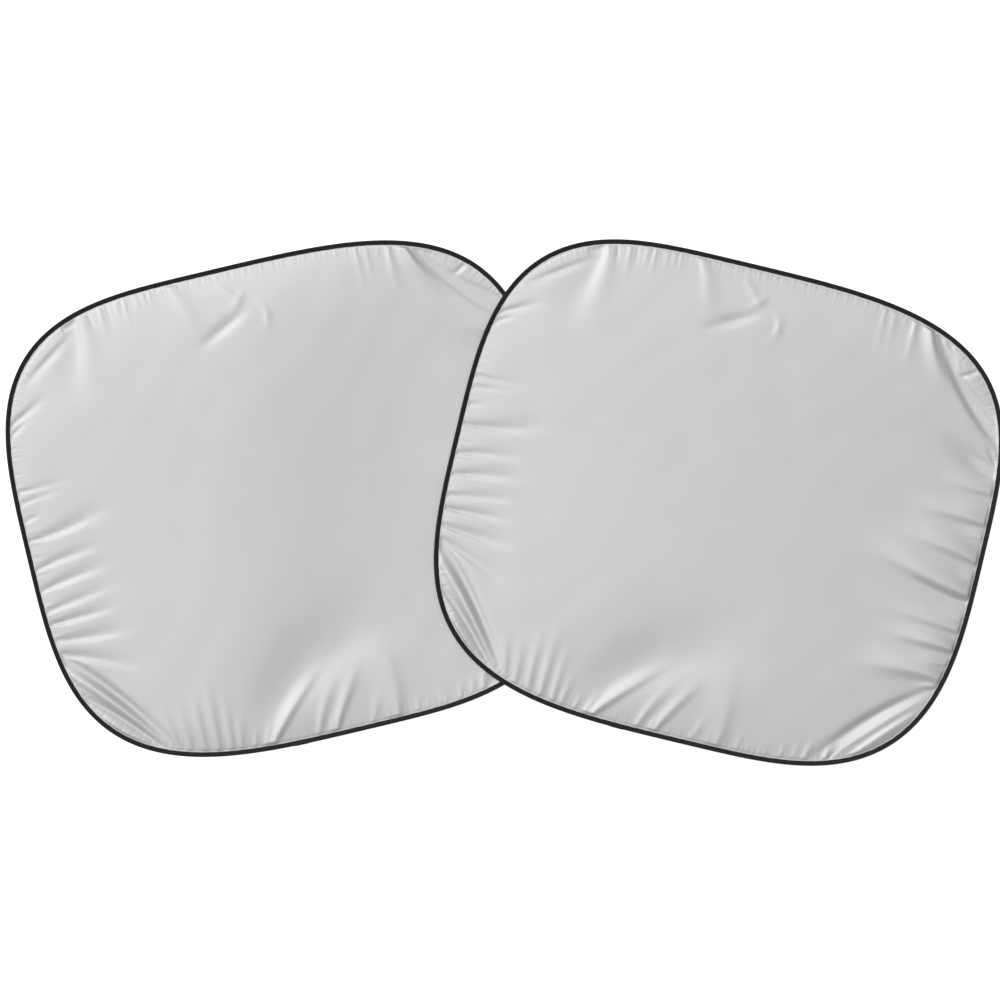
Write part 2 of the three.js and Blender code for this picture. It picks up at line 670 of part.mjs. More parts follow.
// The right panel leans from the two crossings, on the left panel's rim, down to its own far side.
const rightPanel = makePanel("right", () => highestCrest);
const leanLine = upperCrossing.clone().sub(lowerCrossing).normalize();
const farthest = Math.max(
  ...rightRim.map((p) => (p.x - lowerCrossing.x) * leanLine.y - (p.y - lowerCrossing.y) * leanLine.x),
);
const leanRise = 2 * beadRadius + restGap;
const leaning = new THREE.Group();
leaning.position.set(lowerCrossing.x, lowerCrossing.y, beadRadius + leanRise);
leaning.quaternion.setFromAxisAngle(
  new THREE.Vector3(leanLine.x, leanLine.y, 0),
  Math.asin(leanRise / farthest),
);
rightPanel.position.set(centreOffsetX - lowerCrossing.x, -centreOffsetY - lowerCrossing.y, 0);
rightPanel.rotation.z = -panelTurn;
leaning.add(rightPanel);

// Both panels, moved so that the origin is on the floor under the middle of the pair.
const pair = new THREE.Group();
pair.add(leftPanel, leaning);
pair.updateMatrixWorld(true);
const reach = new THREE.Box3().setFromObject(pair, true);
const middle = reach.getCenter(new THREE.Vector3());
pair.position.set(-middle.x, -middle.y, -reach.min.z);

const sunshade = new THREE.Group();
sunshade.name = "windshield_sunshade";
sunshade.add(pair);

export default sunshade;
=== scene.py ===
import math

import bpy
import numpy as np
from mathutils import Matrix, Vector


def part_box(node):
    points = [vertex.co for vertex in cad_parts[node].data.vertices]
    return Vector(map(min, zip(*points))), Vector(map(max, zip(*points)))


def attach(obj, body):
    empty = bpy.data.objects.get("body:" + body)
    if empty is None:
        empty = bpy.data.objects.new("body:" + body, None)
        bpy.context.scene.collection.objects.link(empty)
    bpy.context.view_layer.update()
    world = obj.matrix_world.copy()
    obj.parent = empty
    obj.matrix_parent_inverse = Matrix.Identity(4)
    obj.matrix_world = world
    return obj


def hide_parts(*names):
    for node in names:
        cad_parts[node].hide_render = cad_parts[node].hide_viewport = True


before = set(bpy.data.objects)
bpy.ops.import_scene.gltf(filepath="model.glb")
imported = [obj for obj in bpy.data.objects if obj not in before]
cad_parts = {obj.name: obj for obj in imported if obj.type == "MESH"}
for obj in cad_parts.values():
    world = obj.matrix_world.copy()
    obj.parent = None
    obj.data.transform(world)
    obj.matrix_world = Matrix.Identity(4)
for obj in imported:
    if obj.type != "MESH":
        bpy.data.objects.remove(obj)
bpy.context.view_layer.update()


# The spring hoops.
# Each panel is kept open by one loop of drawn spring steel, bent into a rounded square that bulges a
# little more on some sides than on others. The loops lie flat, turned apart, and the right one rests
# on the left one where they cross. They run inside the black tape, so only the line they follow shows.
PANEL_WIDTH = 0.800
PANEL_HEIGHT = 0.712
BINDING_WIDTH = 0.007
BEAD_RADIUS = 0.00185
PANEL_TURN = math.radians(13.37)
CENTRE_OFFSET = np.array([0.3132, -0.0037])
REST_GAP = 0.0003
BAND_HALF_WIDTH = (PANEL_WIDTH - BINDING_WIDTH) / 2
BAND_HALF_HEIGHT = (PANEL_HEIGHT - BINDING_WIDTH) / 2
TOP_CROWN_X = -0.062
BOTTOM_CROWN_X = 0.047
LEFT_CROWN_Y = 0.016
RIGHT_CROWN_Y = 0.0075
TAPE_JOINT_X = -0.076

# Each corner is a quarter of a superellipse: across, up, its centre, and how square it is.
HOOP_CORNERS = [
    (1, 1, TOP_CROWN_X, RIGHT_CROWN_Y, 3.67),
    (-1, 1, TOP_CROWN_X, LEFT_CROWN_Y, 3.36),
    (-1, -1, BOTTOM_CROWN_X, LEFT_CROWN_Y, 3.59),
    (1, -1, BOTTOM_CROWN_X, RIGHT_CROWN_Y, 3.23),
]


def hoop_line(count, inward=0.0):
    """Count points at even steps, counterclockwise from the tape's joint, and the inward directions.
    They lie on the wire's own line, or that far inward of it."""
    fine_steps = 900
    fine = []
    for number, (across, up, cx, cy, power) in enumerate(HOOP_CORNERS):
        share = np.arange(fine_steps) / fine_steps
        angle = (share if number % 2 == 0 else 1 - share) * math.pi / 2
        reach_x = BAND_HALF_WIDTH - across * cx
        reach_y = BAND_HALF_HEIGHT - up * cy
        c, s = np.cos(angle), np.sin(angle)
        radius = ((c / reach_x) ** power + (s / reach_y) ** power) ** (-1 / power)
        fine.append(np.column_stack([cx + across * radius * c, cy + up * radius * s]))
    fine = np.concatenate(fine)
    below = fine[:, 1] < 0
    first = np.argmin(np.where(below, np.abs(fine[:, 0] - TAPE_JOINT_X), np.inf))
    fine = np.roll(fine, -first, axis=0)
    closed = np.vstack([fine, fine[:1]])
    along = np.concatenate([[0], np.cumsum(np.linalg.norm(np.diff(closed, axis=0), axis=1))])
    at = np.arange(count) / count * along[-1]
    points = np.column_stack([np.interp(at, along, closed[:, k]) for k in (0, 1)])
    forward = np.roll(points, -1, axis=0) - np.roll(points, 1, axis=0)
    forward /= np.linalg.norm(forward, axis=1)[:, None]
    inside = np.column_stack([-forward[:, 1], forward[:, 0]])
    to_wire = BEAD_RADIUS - BINDING_WIDTH / 2
    return points + inside * (to_wire + inward), inside


def turned(points, angle):
    c, s = math.cos(angle), math.sin(angle)
    return np.column_stack([points[:, 0] * c - points[:, 1] * s, points[:, 0] * s + points[:, 1] * c])


def turn_between(one, other):
    """The cross product of flat directions."""
    return one[..., 0] * other[..., 1] - one[..., 1] * other[..., 0]


def crossing_places(one, other):
    """The points where two closed lines cross, the highest on the page first."""
    a, b = one[:, None], np.roll(one, -1, axis=0)[:, None]
    c, d = other[None], np.roll(other, -1, axis=0)[None]
    turn = turn_between(b - a, d - c)
    s = turn_between(c - a, d - c) / turn
    t = turn_between(c - a, b - a) / turn
    i, j = np.nonzero((s >= 0) & (s < 1) & (t >= 0) & (t < 1))
    found = one[i] + s[i, j][:, None] * (np.roll(one, -1, axis=0)[i] - one[i])
    return found[np.argsort(-found[:, 1])]


hoop, _ = hoop_line(1200)
left_hoop = turned(hoop, PANEL_TURN) - CENTRE_OFFSET
right_hoop = turned(hoop, -PANEL_TURN) + CENTRE_OFFSET
crossings = crossing_places(left_hoop, right_hoop)
upper_crossing, lower_crossing = crossings[0], crossings[-1]
lean_line = (upper_crossing - lower_crossing) / np.linalg.norm(upper_crossing - lower_crossing)
from_crossing = right_hoop - lower_crossing
far_side = np.max(from_crossing[:, 0] * lean_line[1] - from_crossing[:, 1] * lean_line[0])
lean_rise = 2 * BEAD_RADIUS + REST_GAP
lean_angle = math.asin(lean_rise / far_side)

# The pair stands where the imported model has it.
tape_low, tape_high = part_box("left_edge_binding")
tape_middle = np.array([tape_low.x + tape_high.x, tape_low.y + tape_high.y]) / 2
pair_shift = tape_middle - (left_hoop.min(axis=0) + left_hoop.max(axis=0)) / 2


def lay_left(points):
    """Puts points, measured from a panel's own middle and the wire's plane, where the left panel lies."""
    flat = turned(points[:, :2], PANEL_TURN) - CENTRE_OFFSET + pair_shift
    return np.column_stack([flat, points[:, 2] + BEAD_RADIUS])


def lay_right(points):
    """The same for the right panel, which leans from the crossings down to its far side."""
    flat = turned(points[:, :2], -PANEL_TURN) + CENTRE_OFFSET - lower_crossing
    out = flat[:, 0] * lean_line[1] - flat[:, 1] * lean_line[0]
    along = flat @ lean_line
    c, s = math.cos(lean_angle), math.sin(lean_angle)
    leaned_out = out * c + points[:, 2] * s
    height = points[:, 2] * c - out * s
    away = np.array([lean_line[1], -lean_line[0]])
    flat = leaned_out[:, None] * away + along[:, None] * lean_line + lower_crossing + pair_shift
    return np.column_stack([flat, height + BEAD_RADIUS + lean_rise])


PANELS = {"left": (lay_left, PANEL_TURN), "right": (lay_right, -PANEL_TURN)}


def new_group(name, inputs, outputs):
    """An empty node group with the named number inputs and outputs."""
    group = bpy.data.node_groups.new(name, "ShaderNodeTree")
    for label, value in inputs.items():
        socket = group.interface.new_socket(label, in_out="INPUT", socket_type="NodeSocketFloat")
        socket.default_value = value
    for label in outputs:
        group.interface.new_socket(label, in_out="OUTPUT", socket_type="NodeSocketFloat")
    return group, group.nodes.new("NodeGroupInput"), group.nodes.new("NodeGroupOutput")


# Soft patches, slightly lighter and darker, for any finish that isn't quite even.
mottle_group, mottle_in, mottle_out = new_group(
    "uneven_patches", {"Patch Size": 0.03, "Strength": 0.1}, ["Value"]
)
mottle_place = mottle_group.nodes.new("ShaderNodeTexCoord")
mottle_scale = mottle_group.nodes.new("ShaderNodeMath")
mottle_scale.operation = "DIVIDE"
mottle_scale.inputs[0].default_value = 1.0
mottle_noise = mottle_group.nodes.new("ShaderNodeTexNoise")
mottle_noise.inputs["Detail"].default_value = 3.0
mottle_centre = mottle_group.nodes.new("ShaderNodeMath")
mottle_centre.operation = "SUBTRACT"
mottle_centre.inputs[1].default_value = 0.5
mottle_amount = mottle_group.nodes.new("ShaderNodeMath")
mottle_amount.operation = "MULTIPLY_ADD"
mottle_amount.inputs[2].default_value = 1.0
mottle_group.links.new(mottle_in.outputs["Patch Size"], mottle_scale.inputs[1])
mottle_group.links.new(mottle_place.outputs["Object"], mottle_noise.inputs["Vector"])
mottle_group.links.new(mottle_scale.outputs[0], mottle_noise.inputs["Scale"])
mottle_group.links.new(mottle_noise.outputs["Fac"], mottle_centre.inputs[0])
mottle_group.links.new(mottle_centre.outputs[0], mottle_amount.inputs[0])
mottle_group.links.new(mottle_in.outputs["Strength"], mottle_amount.inputs[1])
mottle_group.links.new(mottle_amount.outputs[0], mottle_out.inputs["Value"])


def new_finish(name, roughness, metallic=0.0):
    """A material with one surface shader, and the parts that its finish is wired to."""
    finish = bpy.data.materials.new(name)
    finish.use_nodes = True
    shader = finish.node_tree.nodes["Principled BSDF"]
    shader.inputs["Roughness"].default_value = roughness
    shader.inputs["Metallic"].default_value = metallic
    return finish, finish.node_tree, shader


def tint(tree, shader, colour, patch_size, strength):
    """Gives the shader a colour that is a little lighter and darker in soft patches."""
    patches = tree.nodes.new("ShaderNodeGroup")
    patches.node_tree = mottle_group
    patches.inputs["Patch Size"].default_value = patch_size
    patches.inputs["Strength"].default_value = strength
    mix = tree.nodes.new("ShaderNodeVectorMath")
    mix.operation = "SCALE"
    mix.inputs[0].default_value = colour
    tree.links.new(patches.outputs["Value"], mix.inputs["Scale"])
    tree.links.new(mix.outputs["Vector"], shader.inputs["Base Color"])


spring_steel, tree, shader = new_finish("drawn_spring_steel", roughness=0.32, metallic=1.0)
tint(tree, shader, (0.42, 0.43, 0.44), patch_size=0.004, strength=0.5)
crimped_brass, tree, shader = new_finish("crimped_brass", roughness=0.36, metallic=1.0)
tint(tree, shader, (0.58, 0.45, 0.22), patch_size=0.002, strength=0.5)
for side in PANELS:
    for node, finish in (("hoop_wire", spring_steel), ("hoop_ferrule", crimped_brass)):
        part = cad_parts[side + "_" + node]
        part.data.materials.clear()
        part.data.materials.append(finish)


# The black tape binding.
# A strip of woven black tape is folded over the wire and over the cloth's edge, and its two lips are sewn
# together through the cloth. Its ends lap at the bottom, left of the middle.
TAPE_THICKNESS = 0.00045
LIP_END = BINDING_WIDTH - BEAD_RADIUS
SLOT_HALF = 0.00025
LIP_HALF = SLOT_HALF + TAPE_THICKNESS
CASING_RADIUS = BEAD_RADIUS - TAPE_THICKNESS
SEAM_INWARD = LIP_END - 0.0012
SEAM_HALF = LIP_HALF * 0.93
STITCH_PITCH = 0.0031
hoop_length = float(np.sum(np.linalg.norm(np.roll(hoop, -1, axis=0) - hoop, axis=1)))
STITCHES = round(hoop_length / STITCH_PITCH)


def smooth(share):
    """Eases from 0 to 1, level at both ends."""
    share = np.clip(share, 0, 1)
    return share * share * (3 - 2 * share)


def tape_section():
    """The folded tape cut across: [inward, up] round the outside and back round the inside."""
    loop_steps = 14
    slot_half_at_casing = SLOT_HALF * 1.6
    outer_root = math.asin(LIP_HALF / BEAD_RADIUS)
    inner_root = math.asin(slot_half_at_casing / CASING_RADIUS)
    turn = np.linspace(0, 1, loop_steps + 1)
    outer = outer_root + turn * (2 * math.pi - 2 * outer_root)
    inner = inner_root + turn * (2 * math.pi - 2 * inner_root)
    worn_edge = 0.0003
    top_lip = [(LIP_END, LIP_HALF * 0.88), (LIP_END - worn_edge, LIP_HALF), (SEAM_INWARD, SEAM_HALF)]
    bottom_lip = [(i, -u) for i, u in reversed(top_lip)]
    outside = [(BEAD_RADIUS * math.cos(a), BEAD_RADIUS * math.sin(a)) for a in outer]
    inside = [(CASING_RADIUS * math.cos(a), CASING_RADIUS * math.sin(a)) for a in reversed(inner)]
    section = top_lip + outside + bottom_lip + [(LIP_END, -SLOT_HALF)] + inside + [(LIP_END, SLOT_HALF)]
    return np.array(section)


def new_piece(name, points, faces, finish):
    """A mesh object from points in metres and faces that list their corners."""
    mesh = bpy.data.meshes.new(name)
    mesh.from_pydata(points.tolist(), [], faces)
    mesh.update()
    mesh.validate()
    mesh.polygons.foreach_set("use_smooth", [True] * len(mesh.polygons))
    mesh.materials.append(finish)
    piece = bpy.data.objects.new(name, mesh)
    bpy.context.scene.collection.objects.link(piece)
    return piece


def tape_plan():
    """The binding of one panel, in the panel's own frame, with its faces."""
    stations = 1400
    lap = 0.016
    lap_ramp = 0.006
    lap_lift = TAPE_THICKNESS * 1.15
    pinch_depth = 0.09
    edge_pinch = 0.00006
    edge_sway = 0.00010
    line, inside = hoop_line(stations)
    extra = round(lap / hoop_length * stations)
    order = np.arange(stations + extra + 1) % stations
    along = np.arange(stations + extra + 1) * hoop_length / stations
    over = smooth((along - (hoop_length - lap_ramp)) / lap_ramp)
    section = tape_section()
    steps = len(section)
    pinch = np.cos(2 * math.pi * along / STITCH_PITCH)
    sway = np.sin(2 * math.pi * along / 0.0173) + 0.6 * np.sin(2 * math.pi * along / 0.0411 + 1.3)
    outward = section / np.linalg.norm(section, axis=1)[:, None]
    near_lip = np.clip((section[:, 0] - BEAD_RADIUS) / (LIP_END - BEAD_RADIUS), 0, 1)
    inward = section[None, :, 0] + near_lip * (edge_pinch * pinch + edge_sway * sway)[:, None]
    up = section[None, :, 1] * (1 - pinch_depth * near_lip * (1 - pinch)[:, None] / 2)
    lift = lap_lift * over[:, None]
    inward = inward + lift * np.where(section[:, 0] < BEAD_RADIUS, outward[:, 0], 0)
    up = up + lift * np.where(section[:, 0] < BEAD_RADIUS, outward[:, 1], np.sign(section[:, 1]))
    up = np.maximum(up, -BEAD_RADIUS)
    flat = line[order][:, None] + inside[order][:, None] * inward[..., None]
    points = np.concatenate([flat, up[..., None]], axis=2).reshape(-1, 3)
    faces = []
    for k in range(len(order) - 1):
        for i in range(steps):
            j = (i + 1) % steps
            faces.append((k * steps + i, (k + 1) * steps + i, (k + 1) * steps + j, k * steps + j))
    faces.append(tuple(range(steps)))
    faces.append(tuple(reversed(range((len(order) - 1) * steps, len(order) * steps))))
    return points, faces


# A plain weave as a height: two sets of threads that pass over and under each other.
weave_group, weave_in, weave_out = new_group("plain_weave", {"Pitch": 0.0005, "Turn": 0.0}, ["Height"])
weave_place = weave_group.nodes.new("ShaderNodeTexCoord")
weave_turn = weave_group.nodes.new("ShaderNodeVectorRotate")
weave_turn.rotation_type = "Z_AXIS"
weave_split = weave_group.nodes.new("ShaderNodeSeparateXYZ")
weave_group.links.new(weave_place.outputs["Object"], weave_turn.inputs["Vector"])
weave_group.links.new(weave_in.outputs["Turn"], weave_turn.inputs["Angle"])
weave_group.links.new(weave_turn.outputs["Vector"], weave_split.inputs["Vector"])
weave_threads = []
for axis in ("X", "Y"):
    pitches = weave_group.nodes.new("ShaderNodeMath")
    pitches.operation = "DIVIDE"
    circle = weave_group.nodes.new("ShaderNodeMath")
    circle.operation = "MULTIPLY"
    circle.inputs[1].default_value = math.pi
    wave = weave_group.nodes.new("ShaderNodeMath")
    wave.operation = "SINE"
    weave_group.links.new(weave_split.outputs[axis], pitches.inputs[0])
    weave_group.links.new(weave_in.outputs["Pitch"], pitches.inputs[1])
    weave_group.links.new(pitches.outputs[0], circle.inputs[0])
    weave_group.links.new(circle.outputs[0], wave.inputs[0])
    weave_threads.append(wave)
weave_cross = weave_group.nodes.new("ShaderNodeMath")
weave_cross.operation = "MULTIPLY"
weave_group.links.new(weave_threads[0].outputs[0], weave_cross.inputs[0])
weave_group.links.new(weave_threads[1].outputs[0], weave_cross.inputs[1])
weave_group.links.new(weave_cross.outputs[0], weave_out.inputs["Height"])


def weave(tree, shader, pitch, turn, strength, depth):
    """Gives the shader the relief of a plain weave."""
    threads = tree.nodes.new("ShaderNodeGroup")
    threads.node_tree = weave_group
    threads.inputs["Pitch"].default_value = pitch
    threads.inputs["Turn"].default_value = turn
    bump = tree.nodes.new("ShaderNodeBump")
    bump.inputs["Strength"].default_value = strength
    bump.inputs["Distance"].default_value = depth
    tree.links.new(threads.outputs["Height"], bump.inputs["Height"])
    tree.links.new(bump.outputs["Normal"], shader.inputs["Normal"])


tape_points, tape_faces = tape_plan()
for side, (lay, turn) in PANELS.items():
    black_tape, tree, shader = new_finish(side + "_woven_black_tape", roughness=0.72)
    shader.inputs["Specular IOR Level"].default_value = 0.3
    shader.inputs["Sheen Weight"].default_value = 0.1
    shader.inputs["Sheen Roughness"].default_value = 0.5
    tint(tree, shader, (0.0085, 0.008, 0.0083), patch_size=0.006, strength=0.5)
    weave(tree, shader, pitch=0.00045, turn=turn + math.radians(45), strength=0.5, depth=0.00005)
    tape = new_piece(side + "_black_binding", lay(tape_points), tape_faces, black_tape)
    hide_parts(side + "_edge_binding")
    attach(tape, "root")


# The lockstitch that closes the tape.
# Black polyester thread, one short stitch after another on each face of the lips, a little inside
# their edge. Each stitch arches over the tape and dips into it at both ends.
THREAD_RADIUS = 0.00017
STITCH_LENGTH = 0.0026


def stitch_plan(face):
    """All stitches on one face of a panel's tape: face is 1 above and -1 below."""
    line, inside = hoop_line(STITCHES, SEAM_INWARD)
    forward = np.column_stack([inside[:, 1], -inside[:, 0]])
    along = np.array([-0.5, -0.32, 0.0, 0.32, 0.5]) * STITCH_LENGTH
    lift = np.array([-0.00020, 0.00008, 0.00016, 0.00008, -0.00020])
    thick = np.array([0.55, 1.0, 1.0, 1.0, 0.55]) * THREAD_RADIUS
    sides = 5
    angle = np.arange(sides) / sides * 2 * math.pi
    slant = 0.00009
    points, faces = [], []
    for k in range(STITCHES):
        base = len(points)
        for s in range(len(along)):
            middle = line[k] + forward[k] * along[s] + inside[k] * slant * along[s] / STITCH_LENGTH * face
            for a in angle:
                p = middle + inside[k] * thick[s] * math.cos(a)
                height = SEAM_HALF + lift[s] + thick[s] * math.sin(a)
                points.append((p[0], p[1], face * height))
        for s in range(len(along) - 1):
            for i in range(sides):
                j = (i + 1) % sides
                corners = (base + s * sides + i, base + s * sides + j,
                           base + (s + 1) * sides + j, base + (s + 1) * sides + i)
                faces.append(corners if face < 0 else corners[::-1])
        first = tuple(base + i for i in range(sides))
        last = tuple(base + (len(along) - 1) * sides + i for i in range(sides))
        faces.append(first[::-1] if face < 0 else first)
        faces.append(last if face < 0 else last[::-1])
    return np.array(points), faces


black_thread, tree, shader = new_finish("black_polyester_thread", roughness=0.45)
tint(tree, shader, (0.011, 0.011, 0.012), patch_size=0.001, strength=0.6)
for face, where in ((1, "top"), (-1, "under")):
    stitch_points, stitch_faces = stitch_plan(face)
    for side, (lay, _) in PANELS.items():
        stitches = new_piece(side + "_stitches_" + where, lay(stitch_points), stitch_faces, black_thread)
        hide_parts(side + "_seam_thread_" + where)
        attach(stitches, "root")


# The silver cloth.
# A light polyester with a silver coating, cut a little larger than the hoop, so that it puckers along the
# seam, gathers at the ends of each side and folds across the corners. Its edge is sewn in the tape.
CLOTH_THICKNESS = 0.0003
CLOTH_GRIP = 0.0024
CLOTH_FLAT_BEYOND_LIPS = 0.0009
DOME_RISE = 0.008
DOME_SHOULDER = 4
EDGE_PUFF_RISE = 0.0026
EDGE_PUFF_REACH = 0.036
EDGE_EASE = 0.0035
LOWEST_VALLEY = 0.0012
HIGHEST_CREST = 0.022
PRESSED_CREST = 0.0019
PRESSED_SHARE = 0.13
SWELL_PRESS_REACH = 0.34
CREST_PRESS_REACH = 0.05
PRESS_MARGIN = 0.006

# Folds that start at the rim and die out inward, in millimetres of the panel. A row is the start, a point
# halfway and the end, the half width at the start and at the end, the lean, and the steepness in percent,
# negative in a valley. A fold that leans by 1 has its whole width on its left side, seen from its start, and
# by -1 on its right side.
RIM_FOLDS = [
    # Left side, from the top down.
    (-391, 101, -355, 101, -305, 104, 3, 6, 0.45, -24),
    (-390, 83, -355, 88, -312, 92, 3, 6, 0.45, -18),
    (-391, 57, -380, 59, -362, 62, 3, 5, 0.45, -29),
    (-392, 28, -330, 34, -250, 57, 3, 13, 0.45, -32),
    (-391, -17, -345, -8, -272, 0, 3, 9, 0.45, -35),
    (-391, -48, -345, -40, -268, -28, 3, 10, 0.45, -40),
    (-390, -80, -345, -73, -262, -60, 3, 9, 0.45, -32),
    (-390, -99, -345, -98.5, -275, -94, 3, 8, 0.45, -48),
    (-388, -123, -335, -130, -262, -131, 3, 12, 0.45, -35),
    (-385, -145, -334, -164, -262, -196, 4, 11, 0.45, -35),
    # Top left corner and the gathers beside it.
    (-380, 199, -352, 213, -308, 236, 3, 7, 0, -38),
    (-382, 184, -366, 194, -345, 207, 3, 5, 0, -29),
    (-256, 330, -262, 276, -296, 196, 10, 34, -0.2, -12),
    (-242, 332, -246, 280, -258, 206, 6, 20, 0.3, 12),
    (-230, 335, -228, 322, -227, 300, 2.5, 4, 0, -22),
    (-211, 339, -211, 316, -209, 284, 3, 5, 0, 14),
    (-200, 340, -200, 325, -199, 300, 2.5, 4, 0, -13),
    (-186, 341, -186, 325, -185, 302, 3, 4, 0, 13),
    (-174, 342, -174, 320, -173, 294, 3, 4, 0, 14),
    (-155, 344, -155, 330, -154, 314, 2.5, 4, 0, 11),
    (-146, 344, -145, 332, -144, 316, 2.5, 4, 0, 10),
    (-136, 345, -135, 330, -133, 312, 2.5, 4, 0, 10),
    # Top middle, down to the soft dent.
    (-112, 347, -92, 318, -76, 246, 5, 14, 0.3, 14),
    # Gathers and the broad band at the top right.
    (175, 341, 175, 305, 176, 262, 3, 6, 0, 13),
    (190, 340, 190, 310, 190, 268, 3.5, 6, 0, 13),
    (204, 338, 205, 328, 205, 314, 2.5, 3.5, 0, 11),
    (221, 335, 222, 300, 222, 258, 4, 7, 0.2, 22),
    (245, 329, 262, 286, 296, 236, 6, 10, -0.45, 43),
    (257, 324, 266, 309, 277, 293, 2, 2.5, 0, -54),
    (272, 317, 282, 304, 293, 290, 2.5, 3, 0, -45),
    (385, 150, 376, 161, 366, 179, 3, 4, 0, -38),
    (390, 136, 356, 149, 284, 184, 5, 20, 0.2, -44),
    # Right side, from the top down.
    (388, 107, 350, 110, 300, 112, 7, 12, -0.4, 20),
    (390, 78, 368, 79, 334, 80, 6, 9, -0.4, 14),
    (391, 62, 346, 66, 262, 69, 7, 16, -0.4, 36),
    (393, 37, 382, 41, 358, 44, 5, 8, -0.4, 26),
    (393, 3, 346, 16, 250, 31, 7, 22, -0.4, 40),
    (393, -21, 384, -20, 362, -16, 5, 8, -0.4, 26),
    (392, -57, 330, -47, 228, -19, 4, 8, -0.4, -32),
    (392, -45, 326, -32, 196, 4, 11, 26, -0.4, 46),
    (390, -85, 376, -83, 345, -80, 5, 8, -0.4, 28),
    (391, -101, 345, -95, 240, -86, 7, 16, -0.4, 36),
    (387, -130, 346, -126, 265, -124, 7, 17, -0.4, 50),
    (382, -153, 362, -153, 325, -152, 5, 9, -0.4, 34),
    (379, -180, 336, -172, 226, -178, 7, 24, -0.4, 44),
    (374, -187, 362, -190, 340, -195, 4, 7, -0.4, 40),
    # Bottom right gathers.
    (243, -333, 250, -320, 262, -300, 2.5, 4, 0, -42),
    (240, -335, 242, -318, 250, -296, 3, 5, 0.2, 35),
    (209, -342, 212, -326, 222, -296, 3, 6, 0, 26),
    (193, -344, 195, -330, 199, -308, 3, 5, 0, 16),
    (174, -346, 176, -332, 179, -310, 3, 5, 0, 19),
    (152, -348, 153, -338, 156, -322, 2.5, 4, 0, 11),
    (143, -349, 145, -337, 149, -320, 2.5, 4, 0, 13),
    (124, -350, 125, -340, 127, -330, 2.5, 4, 0, 11),
    (109, -350, 111, -336, 114, -314, 3, 5, 0, 18),
    (79, -351, 81, -334, 85, -306, 3, 6, 0, 13),
    (78, -350, 82, -290, 70, -212, 14, 26, 0.4, 9),
    (40, -351, 50, -325, 63, -296, 4, 8, 0, 14),
    # The fan at the bottom, left of the middle.
    (-17, -351, 8, -306, 46, -248, 5, 9, 0.25, 36),
    (-24, -350, -19, -335, -10, -316, 2.5, 4, 0, 22),
    (-42, -350, -26, -311, 4, -264, 4, 9, 0, 26),
    (-112, -348, -68, -298, 10, -222, 6, 11, 0.35, 38),
    (-110, -348, -104, -337, -96, -322, 2.5, 3.5, 0, 21),
    (-121, -347, -113, -326, -99, -296, 3, 6, 0, 22),
    (-137, -346, -133, -330, -127, -310, 3, 4, 0, 19),
    # Ribs at the bottom left.
    (-157, -344, -154, -320, -146, -282, 3, 7, 0, 22),
    (-171, -342, -169, -300, -166, -240, 3.5, 8, 0, 24),
    (-190, -340, -189, -290, -187, -212, 4, 10, 0, 27),
    (-209, -337, -210, -290, -208, -222, 4, 9, 0, 24),
    (-231, -331, -232, -295, -240, -245, 4, 9, 0, 19),
    (-246, -326, -252, -290, -262, -240, 4, 10, 0.3, 19),
]

# Folds that cut across a corner or lie free in the cloth, and die out at both ends.
CROSS_FOLDS = [
    # Top left corner, from the rim inward.
    (-290, 320, -325, 293, -352, 264, 3, 3, 0, -42),
    (-275, 319, -262, 322, -247, 328, 2.5, 2.5, 0, -26),
    (-258, 312, -304, 282, -350, 248, 5, 6, 0.2, -24),
    # The soft dent under the top edge.
    (-84, 243, -44, 264, 4, 288, 6, 9, 0.3, -29),
    (-38, 334, -20, 314, -2, 296, 5, 5, 0, 14),
    (2, 318, -8, 304, -28, 282, 5, 6, 0, 13),
    (8, 296, 26, 276, 14, 246, 4, 6, 0.4, 19),
    # The broad hollow above the fan.
    (-124, -338, -46, -254, 120, -190, 26, 60, 0.3, -11),
    # Top right corner, from the cloth out to the rim.
    (256, 322, 318, 238, 392, 172, 8, 9, 0.35, -52),
    (296, 268, 336, 236, 384, 202, 4, 5, 0.3, -46),
    (292, 292, 300, 274, 308, 256, 3, 3, 0, 26),
    (303, 265, 316, 271, 331, 280, 3, 4, 0, -42),
    # Bottom right corner, from the cloth out to the rim.
    (374, -190, 296, -250, 216, -340, 6, 9, 0.2, -54),
    (362, -210, 306, -263, 234, -340, 2.5, 2.5, 0, 38),
    (358, -230, 314, -274, 256, -338, 5, 6, 0.45, 46),
    # Bottom left corner, from the cloth out to the rim.
    (-402, -138, -328, -208, -236, -340, 7, 7, 0, -54),
    (-400, -160, -327, -230, -244, -342, 6, 7, 0.2, 42),
    (-384, -200, -316, -260, -244, -342, 5, 5, 0.2, -60),
    (-374, -226, -316, -284, -262, -340, 6, 6, -0.3, 38),
    (-347, -244, -326, -266, -300, -290, 3, 3, 0, 34),
    (-318, -276, -300, -292, -280, -306, 3, 3, 0, 30),
]


def lay_fold(row, dies_at_start):
    """A fold as points along a bent line, with its half width, lean and height at each, in metres."""
    steps = 12
    x0, y0, x1, y1, x2, y2, start_half_width, end_half_width, lean, steepness = row
    start, half, end = (np.array(p) / 1000 for p in ((x0, y0), (x1, y1), (x2, y2)))
    bend = 2 * half - (start + end) / 2
    share = np.linspace(0, 1, steps + 1)
    at = share[:, None]
    spine = (1 - at) ** 2 * start + 2 * at * (1 - at) * bend + at**2 * end
    taper = np.sin(math.pi * share) ** 1.2 if dies_at_start else (1 - share**2.5) ** 2
    half_width = start_half_width + (end_half_width - start_half_width) * share
    return spine, half_width / 1000, lean, steepness / 100 * half_width / 1000 * taper


